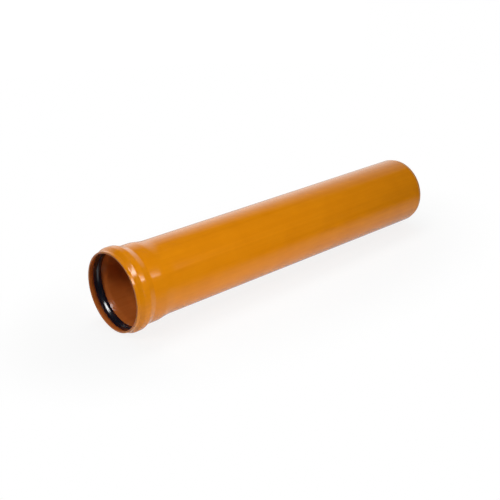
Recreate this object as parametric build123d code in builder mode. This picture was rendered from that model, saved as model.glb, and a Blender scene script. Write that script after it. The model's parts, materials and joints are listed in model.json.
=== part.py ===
from build123d import *

import os
from math import atan2, cos, sin, tan

# A socketed drain pipe lying on the ground: one length of plastic pipe, belled out at one end
# into a socket, and the rubber sealing ring that sits in the socket's groove.
# Stations are measured along the pipe's axis from the socket's mouth, radii from that axis.

# Barrel and spigot: the extruded pipe, sawn square and turned to a taper at its plain end
pipe_diameter = 200.0
wall = 4.9
laying_length = 1000.0
taper_length = 11.0
taper_drop = 3.0

# Socket: the heated pipe end blown out over a mandrel, so its wall follows the mandrel's outline
socket_clearance = 0.4
lip_flare = 1.0
lip_length = 9.3
groove_depth = 7.6
groove_front_run = 11.5
groove_floor = 14.3
groove_back_run = 19.5
guide_length = 35.4
shoulder_run = 33.0
mouth_break = 0.8

# Bends of the socket, each given on the hollow side of the wall
lip_bend = 6.0
groove_front_bend = 5.0
groove_back_bend = 11.0
guide_bend = 12.0
shoulder_bend = 60.0
barrel_bend = 160.0

# Sealing ring: a heel that fills the groove, a band at its front and a lip that leans back onto the spigot
seat_gap = 0.25
nose_share = 0.45
band_length = 8.4
band_drop = 0.5
ramp_length = 7.0
land_length = 6.3
land_rise = 0.35
lip_tip_thickness = 2.4
notch_depth = 8.5
notch_rise = 1.0
notch_height = 1.8
heel_inset = 0.7
lip_break = 1.0

# Radii of the socket's inside, from the lip at the mouth to the pipe's bore
pipe_radius = pipe_diameter / 2
bore_radius = pipe_radius - wall
socket_radius = pipe_radius + socket_clearance
lip_radius = socket_radius + lip_flare
groove_radius = socket_radius + groove_depth
bead_radius = groove_radius + wall

# Stations of the socket's inside
floor_start = lip_length + groove_front_run
floor_end = floor_start + groove_floor
guide_start = floor_end + groove_back_run
shoulder_start = guide_start + guide_length
shoulder_end = shoulder_start + shoulder_run

# A spigot goes in until its tapered end meets the shoulder, and what is left is the laying length
spigot_end_radius = pipe_radius - taper_drop
stop_share = (socket_radius - spigot_end_radius) / (socket_radius - bore_radius)
insertion_depth = shoulder_start + shoulder_run * stop_share
overall_length = laying_length + insertion_depth
taper_start = overall_length - taper_length

# Unheld, the pipe lies on the crest of its bead and on the corner of its spigot's taper
back_slope = atan2(groove_depth, groove_back_run)
crest_end = floor_end - groove_back_bend * tan(back_slope / 2)
lie = atan2(bead_radius - pipe_radius, taper_start - crest_end)

# The ground is at height zero, and the origin is in the middle of the space that the pipe covers
lip_outer_radius = lip_radius + wall
mouth_height = crest_end * sin(lie) + bead_radius * cos(lie)
covered_length = overall_length * cos(lie) + (lip_outer_radius + spigot_end_radius) * sin(lie)
mouth_x = lip_outer_radius * sin(lie) - covered_length / 2
mouth_centre = Vector(mouth_x, 0, mouth_height)
along_pipe = Vector(cos(lie), 0, -sin(lie))
pipe_axis = Axis(mouth_centre, along_pipe)
section_plane = Plane(origin=mouth_centre, x_dir=along_pipe, z_dir=Plane.XZ.z_dir)

# Pipe: the mandrel's outline thickened by the wall and turned about the axis
with BuildPart() as pipe:
    with BuildSketch(section_plane) as pipe_wall:
        with BuildLine() as mandrel:
            FilletPolyline(
                (0, lip_radius),
                (lip_length, lip_radius),
                (floor_start, groove_radius),
                (floor_end, groove_radius),
                (guide_start, socket_radius),
                (shoulder_start, socket_radius),
                (shoulder_end, bore_radius),
                (overall_length, bore_radius),
                radius=[
                    wall + lip_bend,
                    groove_front_bend,
                    groove_back_bend,
                    wall + guide_bend,
                    shoulder_bend,
                    wall + barrel_bend,
                ],
            )
            offset(amount=wall, side=Side.LEFT)
        make_face()
        with BuildLine() as taper:
            Polyline(
                (taper_start, pipe_radius),
                (overall_length, pipe_radius),
                (overall_length, spigot_end_radius),
                close=True,
            )
        make_face(mode=Mode.SUBTRACT)
        mouth_corners = pipe_wall.vertices().group_by(Axis.X)[0]
        chamfer(mouth_corners, length=mouth_break)
    revolve(axis=pipe_axis)
pipe.part.label = "pipe"

# Sealing ring: its back takes the groove's own outline, a seat gap away from the wall
nose_station = lip_length + groove_front_run * nose_share
nose_radius = lip_radius + (groove_radius - lip_radius) * nose_share
ramp_start = nose_station + band_length
ramp_end = ramp_start + ramp_length
lip_station = ramp_end + land_length
lip_back_radius = pipe_radius + lip_tip_thickness
notch_station = lip_station - notch_depth
notch_radius = lip_back_radius + notch_rise
heel_station = lip_station - heel_inset
heel_radius = notch_radius + notch_height

with BuildPart() as sealing_ring:
    with BuildSketch(section_plane) as ring_section:
        with BuildLine() as ring_outline:
            Polyline(
                (nose_station, nose_radius),
                (ramp_start, nose_radius - band_drop),
                (ramp_end, pipe_radius + land_rise),
                (lip_station, pipe_radius),
                (lip_station, lip_back_radius),
                (notch_station, notch_radius),
                (notch_station, heel_radius),
                (heel_station, heel_radius),
                (heel_station, groove_radius),
                (floor_start, groove_radius),
                close=True,
            )
        make_face()
        lip_edge = ring_section.vertices().group_by(Axis.Y)[0]
        chamfer(lip_edge, length=lip_break)
        offset(pipe_wall.sketch_local, amount=seat_gap, mode=Mode.SUBTRACT)
    revolve(axis=pipe_axis)
sealing_ring.part.label = "sealing_ring"

os.makedirs("parts", exist_ok=True)
export_step(pipe.part, "parts/pipe.step")
export_step(sealing_ring.part, "parts/sealing_ring.step")
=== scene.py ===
import json
from math import atan2, cos, pi, radians, sin, tan

import bmesh
import bpy
from mathutils import Matrix, Vector


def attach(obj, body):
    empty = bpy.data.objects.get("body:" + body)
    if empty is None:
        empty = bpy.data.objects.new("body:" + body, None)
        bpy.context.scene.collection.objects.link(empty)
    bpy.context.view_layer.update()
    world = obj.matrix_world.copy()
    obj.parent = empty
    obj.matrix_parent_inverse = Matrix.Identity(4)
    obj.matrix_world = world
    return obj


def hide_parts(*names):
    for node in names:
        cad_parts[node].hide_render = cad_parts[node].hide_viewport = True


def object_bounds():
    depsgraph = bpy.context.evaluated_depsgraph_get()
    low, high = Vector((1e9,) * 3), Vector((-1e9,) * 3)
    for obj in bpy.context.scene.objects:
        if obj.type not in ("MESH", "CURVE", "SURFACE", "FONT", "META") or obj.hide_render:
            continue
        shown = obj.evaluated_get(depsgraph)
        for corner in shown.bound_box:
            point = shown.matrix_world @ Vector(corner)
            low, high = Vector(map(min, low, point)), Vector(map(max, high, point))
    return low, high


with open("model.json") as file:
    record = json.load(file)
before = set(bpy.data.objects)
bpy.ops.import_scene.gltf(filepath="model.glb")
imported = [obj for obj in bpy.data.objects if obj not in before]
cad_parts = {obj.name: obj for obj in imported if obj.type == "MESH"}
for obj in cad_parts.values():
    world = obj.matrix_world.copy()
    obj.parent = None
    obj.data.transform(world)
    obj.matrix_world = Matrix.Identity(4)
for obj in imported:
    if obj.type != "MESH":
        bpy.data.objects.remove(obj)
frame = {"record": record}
cad_low, cad_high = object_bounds()

# Pipe: one length of unplasticised PVC drain pipe. The barrel is extruded, one end is heated and blown out
# over a mandrel into a socket with a groove for the seal, and the plain end is sawn square and turned to a
# taper. Stations run along the axis from the socket's mouth, radii from that axis, as in the CAD model.
MM = 0.001
mount_radii = {mount["name"]: mount["dims"]["r_mm"] * MM for mount in frame["record"]["mounts"]}
pipe_radius = mount_radii["spigot"]
bore_radius = mount_radii["barrel_bore"]
socket_radius = mount_radii["socket"]
wall = pipe_radius - bore_radius
laying_length = 1000.0 * MM
lip_flare = 1.0 * MM
lip_length = 9.3 * MM
groove_depth = 7.6 * MM
groove_front_run = 11.5 * MM
groove_floor = 14.3 * MM
groove_back_run = 19.5 * MM
guide_length = 35.4 * MM
shoulder_run = 33.0 * MM
taper_length = 11.0 * MM
taper_drop = 3.0 * MM
mouth_break = 0.8 * MM
edge_break = 0.4 * MM

# Bends of the socket, each given on the hollow side of the wall
lip_bend = 6.0 * MM
groove_front_bend = 5.0 * MM
groove_back_bend = 11.0 * MM
guide_bend = 12.0 * MM
shoulder_bend = 60.0 * MM
barrel_bend = 160.0 * MM

# The mandrel's outline, and the bend at each of its corners
lip_radius = socket_radius + lip_flare
groove_radius = socket_radius + groove_depth
spigot_end_radius = pipe_radius - taper_drop
floor_start = lip_length + groove_front_run
floor_end = floor_start + groove_floor
guide_start = floor_end + groove_back_run
shoulder_start = guide_start + guide_length
shoulder_end = shoulder_start + shoulder_run
stop_share = (socket_radius - spigot_end_radius) / (socket_radius - bore_radius)
overall_length = laying_length + shoulder_start + shoulder_run * stop_share
taper_start = overall_length - taper_length
mandrel = [
    Vector((0, lip_radius, 0)),
    Vector((lip_length, lip_radius, 0)),
    Vector((floor_start, groove_radius, 0)),
    Vector((floor_end, groove_radius, 0)),
    Vector((guide_start, socket_radius, 0)),
    Vector((shoulder_start, socket_radius, 0)),
    Vector((shoulder_end, bore_radius, 0)),
    Vector((overall_length, bore_radius, 0)),
]
mandrel_bends = [
    wall + lip_bend,
    groove_front_bend,
    groove_back_bend,
    wall + guide_bend,
    shoulder_bend,
    wall + barrel_bend,
]
bend_steps = 10
corner_steps = 3
turning_steps = 240
merge_distance = 0.001 * MM


def draw_on(section, tip, station, radius):
    """Draws a section's line straight on from its tip and gives the new tip."""
    tip = bmesh.ops.extrude_vert_indiv(section, verts=[tip])["verts"][0]
    tip.co = (station, radius, 0)
    return tip


def draw_wall_side(section, thickness):
    """Draws one side of the wall, bend by bend, that thickness away from the mandrel.

    Gives the side's first and last point.
    """
    first = tip = section.verts.new(mandrel[0] + Vector((0, thickness, 0)))
    for before, corner, after, bend in zip(mandrel, mandrel[1:], mandrel[2:], mandrel_bends):
        heading = atan2(corner.y - before.y, corner.x - before.x)
        turn = atan2(after.y - corner.y, after.x - corner.x) - heading
        reach = bend if turn > 0 else -bend
        middle = heading + turn / 2
        centre = corner + Vector((-sin(middle), cos(middle), 0)) * reach / cos(turn / 2)
        onset = centre + Vector((sin(heading), -cos(heading), 0)) * (reach - thickness)
        tip = draw_on(section, tip, onset.x, onset.y)
        tip = bmesh.ops.spin(
            section, geom=[tip], cent=centre, axis=(0, 0, 1), angle=turn, steps=bend_steps
        )["geom_last"][0]
    return first, tip


def round_corners(section, corners, width, steps):
    """Rounds corners of a section."""
    bmesh.ops.bevel(
        section, geom=corners, affect="VERTICES", offset=width, offset_type="OFFSET",
        segments=steps, profile=0.5, material=-1,
    )


def make_object(name, shape):
    """Makes a finished shape an object of the scene."""
    mesh = bpy.data.meshes.new(name)
    shape.to_mesh(mesh)
    shape.free()
    made = bpy.data.objects.new(name, mesh)
    bpy.context.scene.collection.objects.link(made)
    return made


def turn_piece(name, section, placing):
    """Turns a closed section about the pipe's axis and lays the piece down in its place."""
    bmesh.ops.spin(
        section, geom=section.verts[:] + section.edges[:], cent=(0, 0, 0), axis=(1, 0, 0),
        angle=2 * pi, steps=turning_steps, use_merge=True,
    )
    bmesh.ops.remove_doubles(section, verts=section.verts, dist=merge_distance)
    bmesh.ops.recalc_face_normals(section, faces=section.faces)
    for face in section.faces:
        face.smooth = True
    bmesh.ops.transform(section, matrix=placing, verts=section.verts)
    piece = make_object(name, section)
    piece.modifiers.new("broad_faces_lead", "WEIGHTED_NORMAL")
    return piece


# The pipe lies on the crest of its bead and on the corner of its taper, so its axis dips a little.
back_slope = atan2(groove_depth, groove_back_run)
crest_end = floor_end - groove_back_bend * tan(back_slope / 2)
bead_radius = groove_radius + wall
lie = atan2(bead_radius - pipe_radius, taper_start - crest_end)
mouth = Vector((
    cad_low.x + (lip_radius + wall) * sin(lie),
    0,
    crest_end * sin(lie) + bead_radius * cos(lie),
))
laid_down = Matrix.Translation(mouth) @ Matrix.Rotation(lie, 4, "Y")

wall_section = bmesh.new()
mouth_inside, bore_end = draw_wall_side(wall_section, 0.0)
mouth_outside, barrel_tip = draw_wall_side(wall_section, wall)
bore_corner = draw_on(wall_section, bore_end, overall_length, bore_radius)
taper_corner = draw_on(wall_section, barrel_tip, taper_start, pipe_radius)
spigot_corner = draw_on(wall_section, taper_corner, overall_length, spigot_end_radius)
bmesh.ops.contextual_create(wall_section, geom=[spigot_corner, bore_corner])
bmesh.ops.contextual_create(wall_section, geom=[mouth_inside, mouth_outside])
round_corners(wall_section, [mouth_inside, mouth_outside], mouth_break, corner_steps)
round_corners(wall_section, [bore_corner, spigot_corner, taper_corner], edge_break, corner_steps)
pipe = turn_piece("drain_pipe", wall_section, laid_down)

# Faces that look towards the axis are the bore, and past the start of the taper the rest are cut faces.
skin_slot, bore_slot, cut_slot = 0, 1, 2
stood_up = laid_down.inverted()
for face in pipe.data.polygons:
    middle = stood_up @ face.center
    facing = stood_up.to_3x3() @ face.normal
    if facing.y * middle.y + facing.z * middle.z < 0:
        face.material_index = bore_slot
    elif middle.x > taper_start:
        face.material_index = cut_slot
    else:
        face.material_index = skin_slot


def linear(hex_colour):
    """Turns an sRGB hex colour to linear light."""
    shares = [int(hex_colour[i:i + 2], 16) / 255 for i in (1, 3, 5)]
    return [s / 12.92 if s <= 0.04045 else ((s + 0.055) / 1.055) ** 2.4 for s in shares] + [1.0]


def add_node(tree, kind, sockets=None, **settings):
    """Adds a node with its settings.

    A socket takes a number or a colour, or a link from another node's output.
    """
    node = tree.nodes.new("ShaderNode" + kind)
    for name, value in settings.items():
        setattr(node, name, value)
    for name, value in (sockets or {}).items():
        if isinstance(value, bpy.types.NodeSocket):
            tree.links.new(value, node.inputs[name])
        else:
            node.inputs[name].default_value = value
    return node


def clear_nodes(owner):
    """Gives a material or world an empty node tree."""
    owner.use_nodes = True
    owner.node_tree.nodes.clear()
    return owner.node_tree


def start_material(name):
    """Starts a material with the pipe's own coordinates: X along its axis from the mouth, in metres."""
    material = bpy.data.materials.new(name)
    tree = clear_nodes(material)
    place = add_node(tree, "TexCoord")
    lying = add_node(
        tree, "Mapping",
        {"Vector": place.outputs["Object"], "Location": mouth, "Rotation": (0, lie, 0)},
        vector_type="TEXTURE",
    )
    return material, tree, lying.outputs["Vector"]


# Extruded PVC-U, orange-brown: opaque, pigmented right through and left smooth by the die and the sleeve.
# It shines like satin, with faint lines along the pipe from the die, a slightly uneven pigment and a surface
# that is never quite true, so that its reflections waver. The die's lines are drawn coarser than they are.
# The inside, which cools in air and touches no sleeve, gets a copy painted a shade browner and redder:
# painted shade for the dim, reddened light inside the bore.
pvc_ior = 1.53
streak_width = 7.0 * MM
streak_length = 900.0 * MM
streak_share = 0.08
mottle_size = 70.0 * MM
ripple_size = 24.0 * MM
ripple_height = 0.08 * MM
ripple_strength = 0.3
pigment_low = 0.7
pigment_high = 1.3
noise_low = 0.3
noise_high = 0.7
for name, dark, pale, smoothest, roughest in (
    ("extruded_pvc", "#D17C04", "#DA8508", 0.12, 0.17),
    # The bore's copy: painted shade, a browner and redder tint for the inside of the bore.
    ("bore_pvc_painted_shade", "#CE6D2C", "#D77634", 0.11, 0.16),
):
    material, tree, lying = start_material(name)
    stretched = add_node(
        tree, "Mapping",
        {"Vector": lying, "Scale": (1 / streak_length, 1 / streak_width, 1 / streak_width)},
    )
    streaks = add_node(
        tree, "TexNoise",
        {"Vector": stretched.outputs["Vector"], "Scale": 1.0, "Detail": 4.0, "Roughness": 0.6},
    )
    mottle = add_node(
        tree, "TexNoise", {"Vector": lying, "Scale": 1 / mottle_size, "Detail": 3.0, "Roughness": 0.55}
    )
    ripple = add_node(
        tree, "TexNoise", {"Vector": lying, "Scale": 1 / ripple_size, "Detail": 1.0, "Roughness": 0.4}
    )
    pigment = add_node(
        tree, "Math", {0: streaks.outputs["Fac"], 1: mottle.outputs["Fac"]}, operation="ADD"
    )
    tint = add_node(
        tree, "MapRange",
        {"Value": pigment.outputs[0], "From Min": pigment_low, "From Max": pigment_high},
    )
    colour = add_node(
        tree, "Mix", {"Factor": tint.outputs[0], "A": linear(dark), "B": linear(pale)}, data_type="RGBA"
    )
    gloss = add_node(
        tree, "MapRange",
        {"Value": streaks.outputs["Fac"], "From Min": noise_low, "From Max": noise_high,
         "To Min": smoothest, "To Max": roughest},
    )
    height = add_node(
        tree, "Math",
        {0: streaks.outputs["Fac"], 1: streak_share, 2: ripple.outputs["Fac"]},
        operation="MULTIPLY_ADD",
    )
    waver = add_node(
        tree, "Bump",
        {"Height": height.outputs[0], "Strength": ripple_strength, "Distance": ripple_height},
    )
    skin = add_node(
        tree, "BsdfPrincipled",
        {"Base Color": colour.outputs["Result"], "Roughness": gloss.outputs[0], "IOR": pvc_ior,
         "Normal": waver.outputs["Normal"]},
    )
    add_node(tree, "OutputMaterial", {"Surface": skin.outputs["BSDF"]})
    pipe.data.materials.append(material)

# The same PVC-U where the saw and the turning tool have cut it: dull, a little paler, with fine tool rings,
# which are drawn coarser than they are. At a scale of 1 a wave texture repeats every pi / 10.
unit_wave = pi / 10
tool_ring_pitch = 3.2 * MM
tool_ring_depth = 0.1 * MM
tool_ring_strength = 0.4
grit_size = 3.0 * MM
cut_roughness = 0.45
cut_pvc, tree, lying = start_material("cut_pvc")
tool_rings = add_node(
    tree, "TexWave",
    {"Vector": lying, "Scale": unit_wave / tool_ring_pitch, "Distortion": 0.6, "Detail": 1.0},
    wave_type="BANDS", bands_direction="X",
)
grit = add_node(tree, "TexNoise", {"Vector": lying, "Scale": 1 / grit_size, "Detail": 3.0})
colour = add_node(
    tree, "Mix",
    {"Factor": grit.outputs["Fac"], "A": linear("#C87A1C"), "B": linear("#D99236")},
    data_type="RGBA",
)
tooled = add_node(
    tree, "Bump",
    {"Height": tool_rings.outputs["Fac"], "Strength": tool_ring_strength, "Distance": tool_ring_depth},
)
skin = add_node(
    tree, "BsdfPrincipled",
    {"Base Color": colour.outputs["Result"], "Roughness": cut_roughness, "IOR": pvc_ior,
     "Normal": tooled.outputs["Normal"]},
)
add_node(tree, "OutputMaterial", {"Surface": skin.outputs["BSDF"]})
pipe.data.materials.append(cut_pvc)
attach(pipe, "root")
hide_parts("pipe")

# Sealing ring: a moulded ring of black rubber. Its heel fills the socket's groove, a band runs round its
# front, and behind that a lip leans back to the spigot's radius. It is pressed into the groove by hand.
seat_gap = 0.25 * MM
nose_share = 0.45
band_length = 8.4 * MM
band_drop = 0.5 * MM
ramp_length = 7.0 * MM
land_length = 6.3 * MM
land_rise = 0.35 * MM
lip_tip_thickness = 2.4 * MM
notch_depth = 8.5 * MM
notch_rise = 1.0 * MM
notch_height = 1.8 * MM
heel_inset = 0.7 * MM
ramp_bend = 3.0 * MM
lip_break = 0.9 * MM
ring_break = 0.5 * MM
ramp_steps = 8
lip_steps = 4

# Stations and radii of its section; the back of its heel follows the groove, a seat gap away
nose_station = lip_length + groove_front_run * nose_share
nose_radius = lip_radius + (groove_radius - lip_radius) * nose_share
ramp_start = nose_station + band_length
ramp_end = ramp_start + ramp_length
lip_station = ramp_end + land_length
lip_back_radius = pipe_radius + lip_tip_thickness
notch_station = lip_station - notch_depth
notch_radius = lip_back_radius + notch_rise
heel_station = lip_station - heel_inset
heel_radius = notch_radius + notch_height
seat_radius = groove_radius - seat_gap
front_slope = atan2(groove_radius - lip_radius, groove_front_run)
band_slope = atan2(band_drop, band_length)
set_back = seat_gap / sin(front_slope + band_slope)
front_station = floor_start + seat_gap * tan(front_slope / 2)

ring_section = bmesh.new()
nose = ring_section.verts.new((
    nose_station + set_back * cos(band_slope), nose_radius - set_back * sin(band_slope), 0,
))
band_back = draw_on(ring_section, nose, ramp_start, nose_radius - band_drop)
land_front = draw_on(ring_section, band_back, ramp_end, pipe_radius + land_rise)
lip_tip = draw_on(ring_section, land_front, lip_station, pipe_radius)
lip_back = draw_on(ring_section, lip_tip, lip_station, lip_back_radius)
notch_low = draw_on(ring_section, lip_back, notch_station, notch_radius)
notch_high = draw_on(ring_section, notch_low, notch_station, heel_radius)
heel_low = draw_on(ring_section, notch_high, heel_station, heel_radius)
heel_high = draw_on(ring_section, heel_low, heel_station, seat_radius)
front_corner = draw_on(ring_section, heel_high, front_station, seat_radius)
bmesh.ops.contextual_create(ring_section, geom=[front_corner, nose])
round_corners(ring_section, [band_back, land_front], ramp_bend, ramp_steps)
round_corners(ring_section, [lip_tip, lip_back, heel_high], lip_break, lip_steps)
small_corners = [nose, notch_low, notch_high, heel_low, front_corner]
round_corners(ring_section, small_corners, ring_break, corner_steps)
ring = turn_piece("sealing_ring_rubber", ring_section, laid_down)

# Black rubber, moulded and lightly waxed: nearly black, with a soft blue-grey shine that the wax makes
# stronger, and a fine, slightly cloudy bloom on its skin.
rubber_ior = 1.52
wax_shine = 1.0
waxed_roughness = 0.14
bloomed_roughness = 0.19
bloom_size = 18.0 * MM
grain_size = 1.2 * MM
pore_depth = 0.02 * MM
pore_strength = 0.1
seal_rubber, tree, lying = start_material("seal_rubber")
bloom = add_node(
    tree, "TexNoise", {"Vector": lying, "Scale": 1 / bloom_size, "Detail": 3.0, "Roughness": 0.6}
)
grain = add_node(tree, "TexNoise", {"Vector": lying, "Scale": 1 / grain_size, "Detail": 2.0})
colour = add_node(
    tree, "Mix",
    {"Factor": bloom.outputs["Fac"], "A": linear("#10131E"), "B": linear("#1C2130")},
    data_type="RGBA",
)
gloss = add_node(
    tree, "MapRange",
    {"Value": bloom.outputs["Fac"], "From Min": noise_low, "From Max": noise_high,
     "To Min": waxed_roughness, "To Max": bloomed_roughness},
)
pores = add_node(
    tree, "Bump",
    {"Height": grain.outputs["Fac"], "Strength": pore_strength, "Distance": pore_depth},
)
skin = add_node(
    tree, "BsdfPrincipled",
    {"Base Color": colour.outputs["Result"], "Roughness": gloss.outputs[0], "IOR": rubber_ior,
     "Specular IOR Level": wax_shine, "Normal": pores.outputs["Normal"]},
)
add_node(tree, "OutputMaterial", {"Surface": skin.outputs["BSDF"]})
ring.data.materials.append(seal_rubber)
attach(ring, "root")
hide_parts("sealing_ring")

# Studio floor: a wide sheet of pale paper under the pipe, grey in front of the mouth, so that little light
# comes up into the socket. The camera sees it white but for the pipe's shadow, and in the pipe's shine it
# dims to the front, as paper does past the lamps' reach.
floor_reach = 30.0
shadow_length = 0.95
shadow_width = 0.5
shadow_core_share = 0.5
shadow_share = 0.15
shine_start = -0.5
shine_end = -0.02
floor_shine = 0.6
grey_paper_x = -0.85
pale_paper_x = -0.5
grey_paper = 0.08
pale_paper = 0.9
white = linear("#FFFFFF")
floor_shape = bmesh.new()
bmesh.ops.create_grid(floor_shape, x_segments=1, y_segments=1, size=floor_reach)
studio_floor = make_object("studio_floor", floor_shape)
matt_paper = bpy.data.materials.new("matt_paper")
tree = clear_nodes(matt_paper)
rays = add_node(tree, "LightPath")
place = add_node(tree, "TexCoord")
across = add_node(tree, "SeparateXYZ", {"Vector": place.outputs["Object"]})
near = add_node(
    tree, "VectorMath",
    {0: place.outputs["Object"], 1: (1 / shadow_length, 1 / shadow_width, 0)},
    operation="MULTIPLY",
)
distance = add_node(tree, "VectorMath", {0: near.outputs["Vector"]}, operation="LENGTH")
whitened = add_node(
    tree, "MapRange",
    {"Value": distance.outputs["Value"], "From Min": shadow_core_share, "From Max": 1.0,
     "To Min": 1 - shadow_share, "To Max": 1.0},
    interpolation_type="SMOOTHSTEP",
)
dimmed = add_node(
    tree, "MapRange",
    {"Value": across.outputs["Y"], "From Min": shine_start, "From Max": shine_end,
     "To Min": 0.0, "To Max": floor_shine},
    interpolation_type="SMOOTHSTEP",
)
brightness = add_node(
    tree, "Mix", {"Factor": rays.outputs["Is Glossy Ray"], "A": 1.0, "B": dimmed.outputs[0]}
)
seen = add_node(
    tree, "Math", {0: rays.outputs["Is Camera Ray"], 1: whitened.outputs[0]}, operation="MULTIPLY"
)
shone = add_node(
    tree, "Math",
    {0: rays.outputs["Is Glossy Ray"], 1: rays.outputs["Is Transmission Ray"]},
    operation="MAXIMUM",
)
share = add_node(tree, "Math", {0: seen.outputs[0], 1: shone.outputs[0]}, operation="MAXIMUM")
tone = add_node(
    tree, "MapRange",
    {"Value": across.outputs["X"], "From Min": grey_paper_x, "From Max": pale_paper_x,
     "To Min": grey_paper, "To Max": pale_paper},
)
matt = add_node(tree, "BsdfDiffuse", {"Color": tone.outputs[0]})
glow = add_node(tree, "Emission", {"Color": white, "Strength": brightness.outputs["Result"]})
shown = add_node(tree, "MixShader", {0: share.outputs[0], 1: matt.outputs[0], 2: glow.outputs[0]})
add_node(tree, "OutputMaterial", {"Surface": shown.outputs[0]})
studio_floor.data.materials.append(matt_paper)

# Studio backdrop: a lit white sheet, hung in a curve behind the pipe, that dims towards its top and its
# right edge. The camera sees it white all over, and it gives the pipe's top its pale sheen.
backdrop_radius = 2.6
backdrop_height = 3.2
backdrop_first = radians(3.0)
backdrop_sweep = radians(110.0)
backdrop_steps = 48
full_height = 1.0
dark_height = 2.9
full_strength = 1.14
right_y = 0.14
left_y = 1.84
right_share = 0.4
sheet_shape = bmesh.new()
foot = sheet_shape.verts.new((
    backdrop_radius * cos(backdrop_first), backdrop_radius * sin(backdrop_first), 0,
))
head = bmesh.ops.extrude_vert_indiv(sheet_shape, verts=[foot])["verts"][0]
head.co.z = backdrop_height
bmesh.ops.spin(
    sheet_shape, geom=sheet_shape.verts[:] + sheet_shape.edges[:], cent=(0, 0, 0), axis=(0, 0, 1),
    angle=backdrop_sweep, steps=backdrop_steps,
)
studio_backdrop = make_object("studio_backdrop", sheet_shape)
lit_sheet = bpy.data.materials.new("lit_sheet")
tree = clear_nodes(lit_sheet)
rays = add_node(tree, "LightPath")
place = add_node(tree, "TexCoord")
across = add_node(tree, "SeparateXYZ", {"Vector": place.outputs["Object"]})
to_top = add_node(
    tree, "MapRange",
    {"Value": across.outputs["Z"], "From Min": full_height, "From Max": dark_height,
     "To Min": full_strength, "To Max": 0.0},
)
to_right = add_node(
    tree, "MapRange",
    {"Value": across.outputs["Y"], "From Min": right_y, "From Max": left_y,
     "To Min": right_share, "To Max": 1.0},
)
lit = add_node(tree, "Math", {0: to_top.outputs[0], 1: to_right.outputs[0]}, operation="MULTIPLY")
shone = add_node(
    tree, "Math",
    {0: rays.outputs["Is Camera Ray"], 1: rays.outputs["Is Transmission Ray"]},
    operation="MAXIMUM",
)
seen = add_node(tree, "Math", {0: lit.outputs[0], 1: shone.outputs[0]}, operation="MAXIMUM")
glow = add_node(tree, "Emission", {"Color": white, "Strength": seen.outputs[0]})
add_node(tree, "OutputMaterial", {"Surface": glow.outputs[0]})
studio_backdrop.data.materials.append(lit_sheet)

# Softboxes: two make the streaks of shine on the socket, a key over the mouth and a small one to the front
# right. Three more, to the front, to the left and overhead, light the pipe evenly and stay out of its shine.
socket_aim = Vector((-0.5, -0.05, 0.15))
barrel_aim = Vector((-0.3, 0.0, 0.1))
floor_aim = Vector((0.0, 0.0, 0.0))
for name, place, aim, width, height, power, makes_shine in (
    ("key_softbox", Vector((-1.01, -0.662, 1.54)), socket_aim, 0.42, 0.8, 12.6, True),
    ("right_softbox", Vector((0.29, -1.245, 1.24)), socket_aim, 0.22, 0.64, 3.9, True),
    ("front_softbox", Vector((-0.3, -1.6, 0.4)), socket_aim, 0.4, 0.8, 13.8, False),
    ("left_softbox", Vector((-1.58, -0.37, 1.57)), barrel_aim, 0.6, 0.6, 12.2, False),
    ("overhead_softbox", Vector((0.0, 0.5, 2.1)), floor_aim, 1.6, 0.8, 24.0, False),
):
    lamp = bpy.data.lights.new(name, "AREA")
    lamp.shape = "RECTANGLE"
    lamp.size = width
    lamp.size_y = height
    lamp.energy = power
    softbox = bpy.data.objects.new(name, lamp)
    softbox.location = place
    softbox.rotation_euler = (aim - place).to_track_quat("-Z", "Y").to_euler()
    softbox.visible_glossy = makes_shine
    softbox.visible_diffuse = not makes_shine
    bpy.context.scene.collection.objects.link(softbox)

# Room: the air round the set. The camera sees it white. It gives the pipe a little even light, and in the
# pipe's shine it is dark, as a studio is away from its lamps.
room_light = 0.1
room_shine = 0.02
room = bpy.data.worlds.new("room")
bpy.context.scene.world = room
tree = clear_nodes(room)
rays = add_node(tree, "LightPath")
seen = add_node(
    tree, "Math",
    {0: rays.outputs["Is Camera Ray"], 1: rays.outputs["Is Transmission Ray"]},
    operation="MAXIMUM",
)
lit = add_node(
    tree, "MapRange",
    {"Value": rays.outputs["Is Glossy Ray"], "To Min": room_light, "To Max": room_shine},
)
brightness = add_node(
    tree, "MapRange", {"Value": seen.outputs[0], "To Min": lit.outputs[0], "To Max": 1.0}
)
air = add_node(tree, "Background", {"Color": white, "Strength": brightness.outputs[0]})
add_node(tree, "OutputWorld", {"Surface": air.outputs[0]})

# Camera: a short telephoto view from the front left, looking down on the pipe past its socket, with
# everything in focus.
focal_length = 66.653
sensor_width = 36.0
camera_place = Vector((-1.69471, -1.73853, 1.16907))
camera_heading = Vector((0.617, 0.66785, -0.41627))
camera_data = bpy.data.cameras.new("camera")
camera_data.lens = focal_length
camera_data.sensor_width = sensor_width
camera = bpy.data.objects.new("camera", camera_data)
camera.location = camera_place
camera.rotation_euler = camera_heading.to_track_quat("-Z", "Y").to_euler()
bpy.context.scene.collection.objects.link(camera)
bpy.context.scene.camera = camera
bpy.context.scene.view_settings.view_transform = "Standard"
